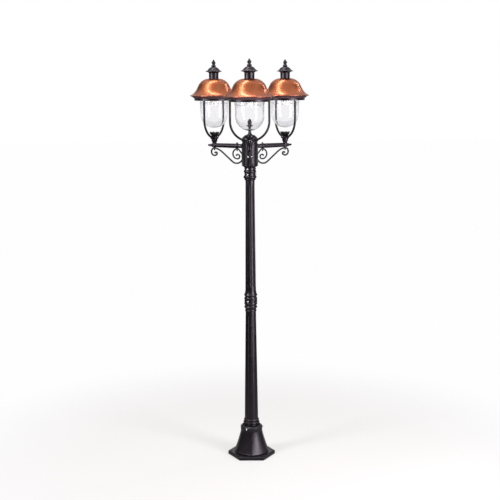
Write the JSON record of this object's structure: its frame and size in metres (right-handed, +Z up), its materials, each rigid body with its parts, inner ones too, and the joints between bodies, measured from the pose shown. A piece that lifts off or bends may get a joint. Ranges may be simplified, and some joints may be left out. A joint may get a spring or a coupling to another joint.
{
  "type": "garden lamp post",
  "caption": "Tall fluted garden lamp post with scrolled arms that carry round clear glass lanterns under bell shaped copper roofs.",
  "frame": {"origin": "centre of the plinth's underside, where the post's axis meets the ground", "axes": "+Z up along the post; -Y towards the front lantern; +X to the right as seen from the front"},
  "size_m": [0.6722, 0.6177, 2.3003],
  "materials": {
    "black_casting": "cast, satin black powder coat",
    "black_steel": "satin black powder coat",
    "bright_steel": "plain zinc plated",
    "copper": "spun copper, finely brushed and lacquered",
    "clear_glass": "clear blown glass",
    "white_porcelain": "glazed",
    "rubber": "moulded"
  },
  "bodies": {
    "post": {"base_casting": "black_casting", "foot_collar": "black_casting", "lower_post": "black_casting", "mid_collar": "black_casting", "upper_post": "black_casting", "top_collar": "black_casting", "hub_body": "black_casting", "hub_cap": "black_casting", "hub_finial": "black_casting", "arm_front": "black_casting", "arm_right": "black_casting", "arm_left": "black_casting", "lamp_stem_front": "black_casting", "lamp_stem_right": "black_casting", "lamp_stem_left": "black_casting", "crown_front": "black_casting", "crown_right": "black_casting", "crown_left": "black_casting", "glass_ring_front": "black_casting", "glass_ring_right": "black_casting", "glass_ring_left": "black_casting", "outer_scroll_front": "black_steel", "outer_scroll_right": "black_steel", "outer_scroll_left": "black_steel", "inner_scroll_front": "black_steel", "inner_scroll_right": "black_steel", "inner_scroll_left": "black_steel", "harp_front": "black_steel", "harp_right": "black_steel", "harp_left": "black_steel", "scroll_screws": "black_steel", "foot_set_screws": "bright_steel", "mid_set_screws": "bright_steel", "top_set_screws": "bright_steel", "arm_bolts": "bright_steel", "clamp_screws": "bright_steel", "ring_screws": "bright_steel", "roof_rods": "bright_steel", "bridge_front": "bright_steel", "bridge_right": "bright_steel", "bridge_left": "bright_steel", "glass_front": "clear_glass", "glass_right": "clear_glass", "glass_left": "clear_glass", "lampholder_front": "white_porcelain", "lampholder_right": "white_porcelain", "lampholder_left": "white_porcelain", "terminal_block": "white_porcelain", "gasket_front": "rubber", "gasket_right": "rubber", "gasket_left": "rubber"},
    "roof_front": {"roof_front": "copper", "chimney_cap_front": "black_casting"},
    "nut_front": {"roof_nut_front": "black_casting"},
    "roof_right": {"roof_right": "copper", "chimney_cap_right": "black_casting"},
    "nut_right": {"roof_nut_right": "black_casting"},
    "roof_left": {"roof_left": "copper", "chimney_cap_left": "black_casting"},
    "nut_left": {"roof_nut_left": "black_casting"}
  },
  "joints": [
    {"name": "roof_lift_front", "type": "slide", "parent": "post", "child": "roof_front", "axis": [0, 0, 1], "range_m": [0, 0.2]},
    {"name": "nut_turn_front", "type": "hinge", "parent": "roof_front", "child": "nut_front", "pos_m": [0, -0.2345, 2.2584], "axis": [0, 0, 1], "continuous": true},
    {"name": "roof_lift_right", "type": "slide", "parent": "post", "child": "roof_right", "axis": [0, 0, 1], "range_m": [0, 0.2]},
    {"name": "nut_turn_right", "type": "hinge", "parent": "roof_right", "child": "nut_right", "pos_m": [0.20308, 0.11725, 2.2584], "axis": [0, 0, 1], "continuous": true},
    {"name": "roof_lift_left", "type": "slide", "parent": "post", "child": "roof_left", "axis": [0, 0, 1], "range_m": [0, 0.2]},
    {"name": "nut_turn_left", "type": "hinge", "parent": "roof_left", "child": "nut_left", "pos_m": [-0.20308, 0.11725, 2.2584], "axis": [0, 0, 1], "continuous": true}
  ]
}
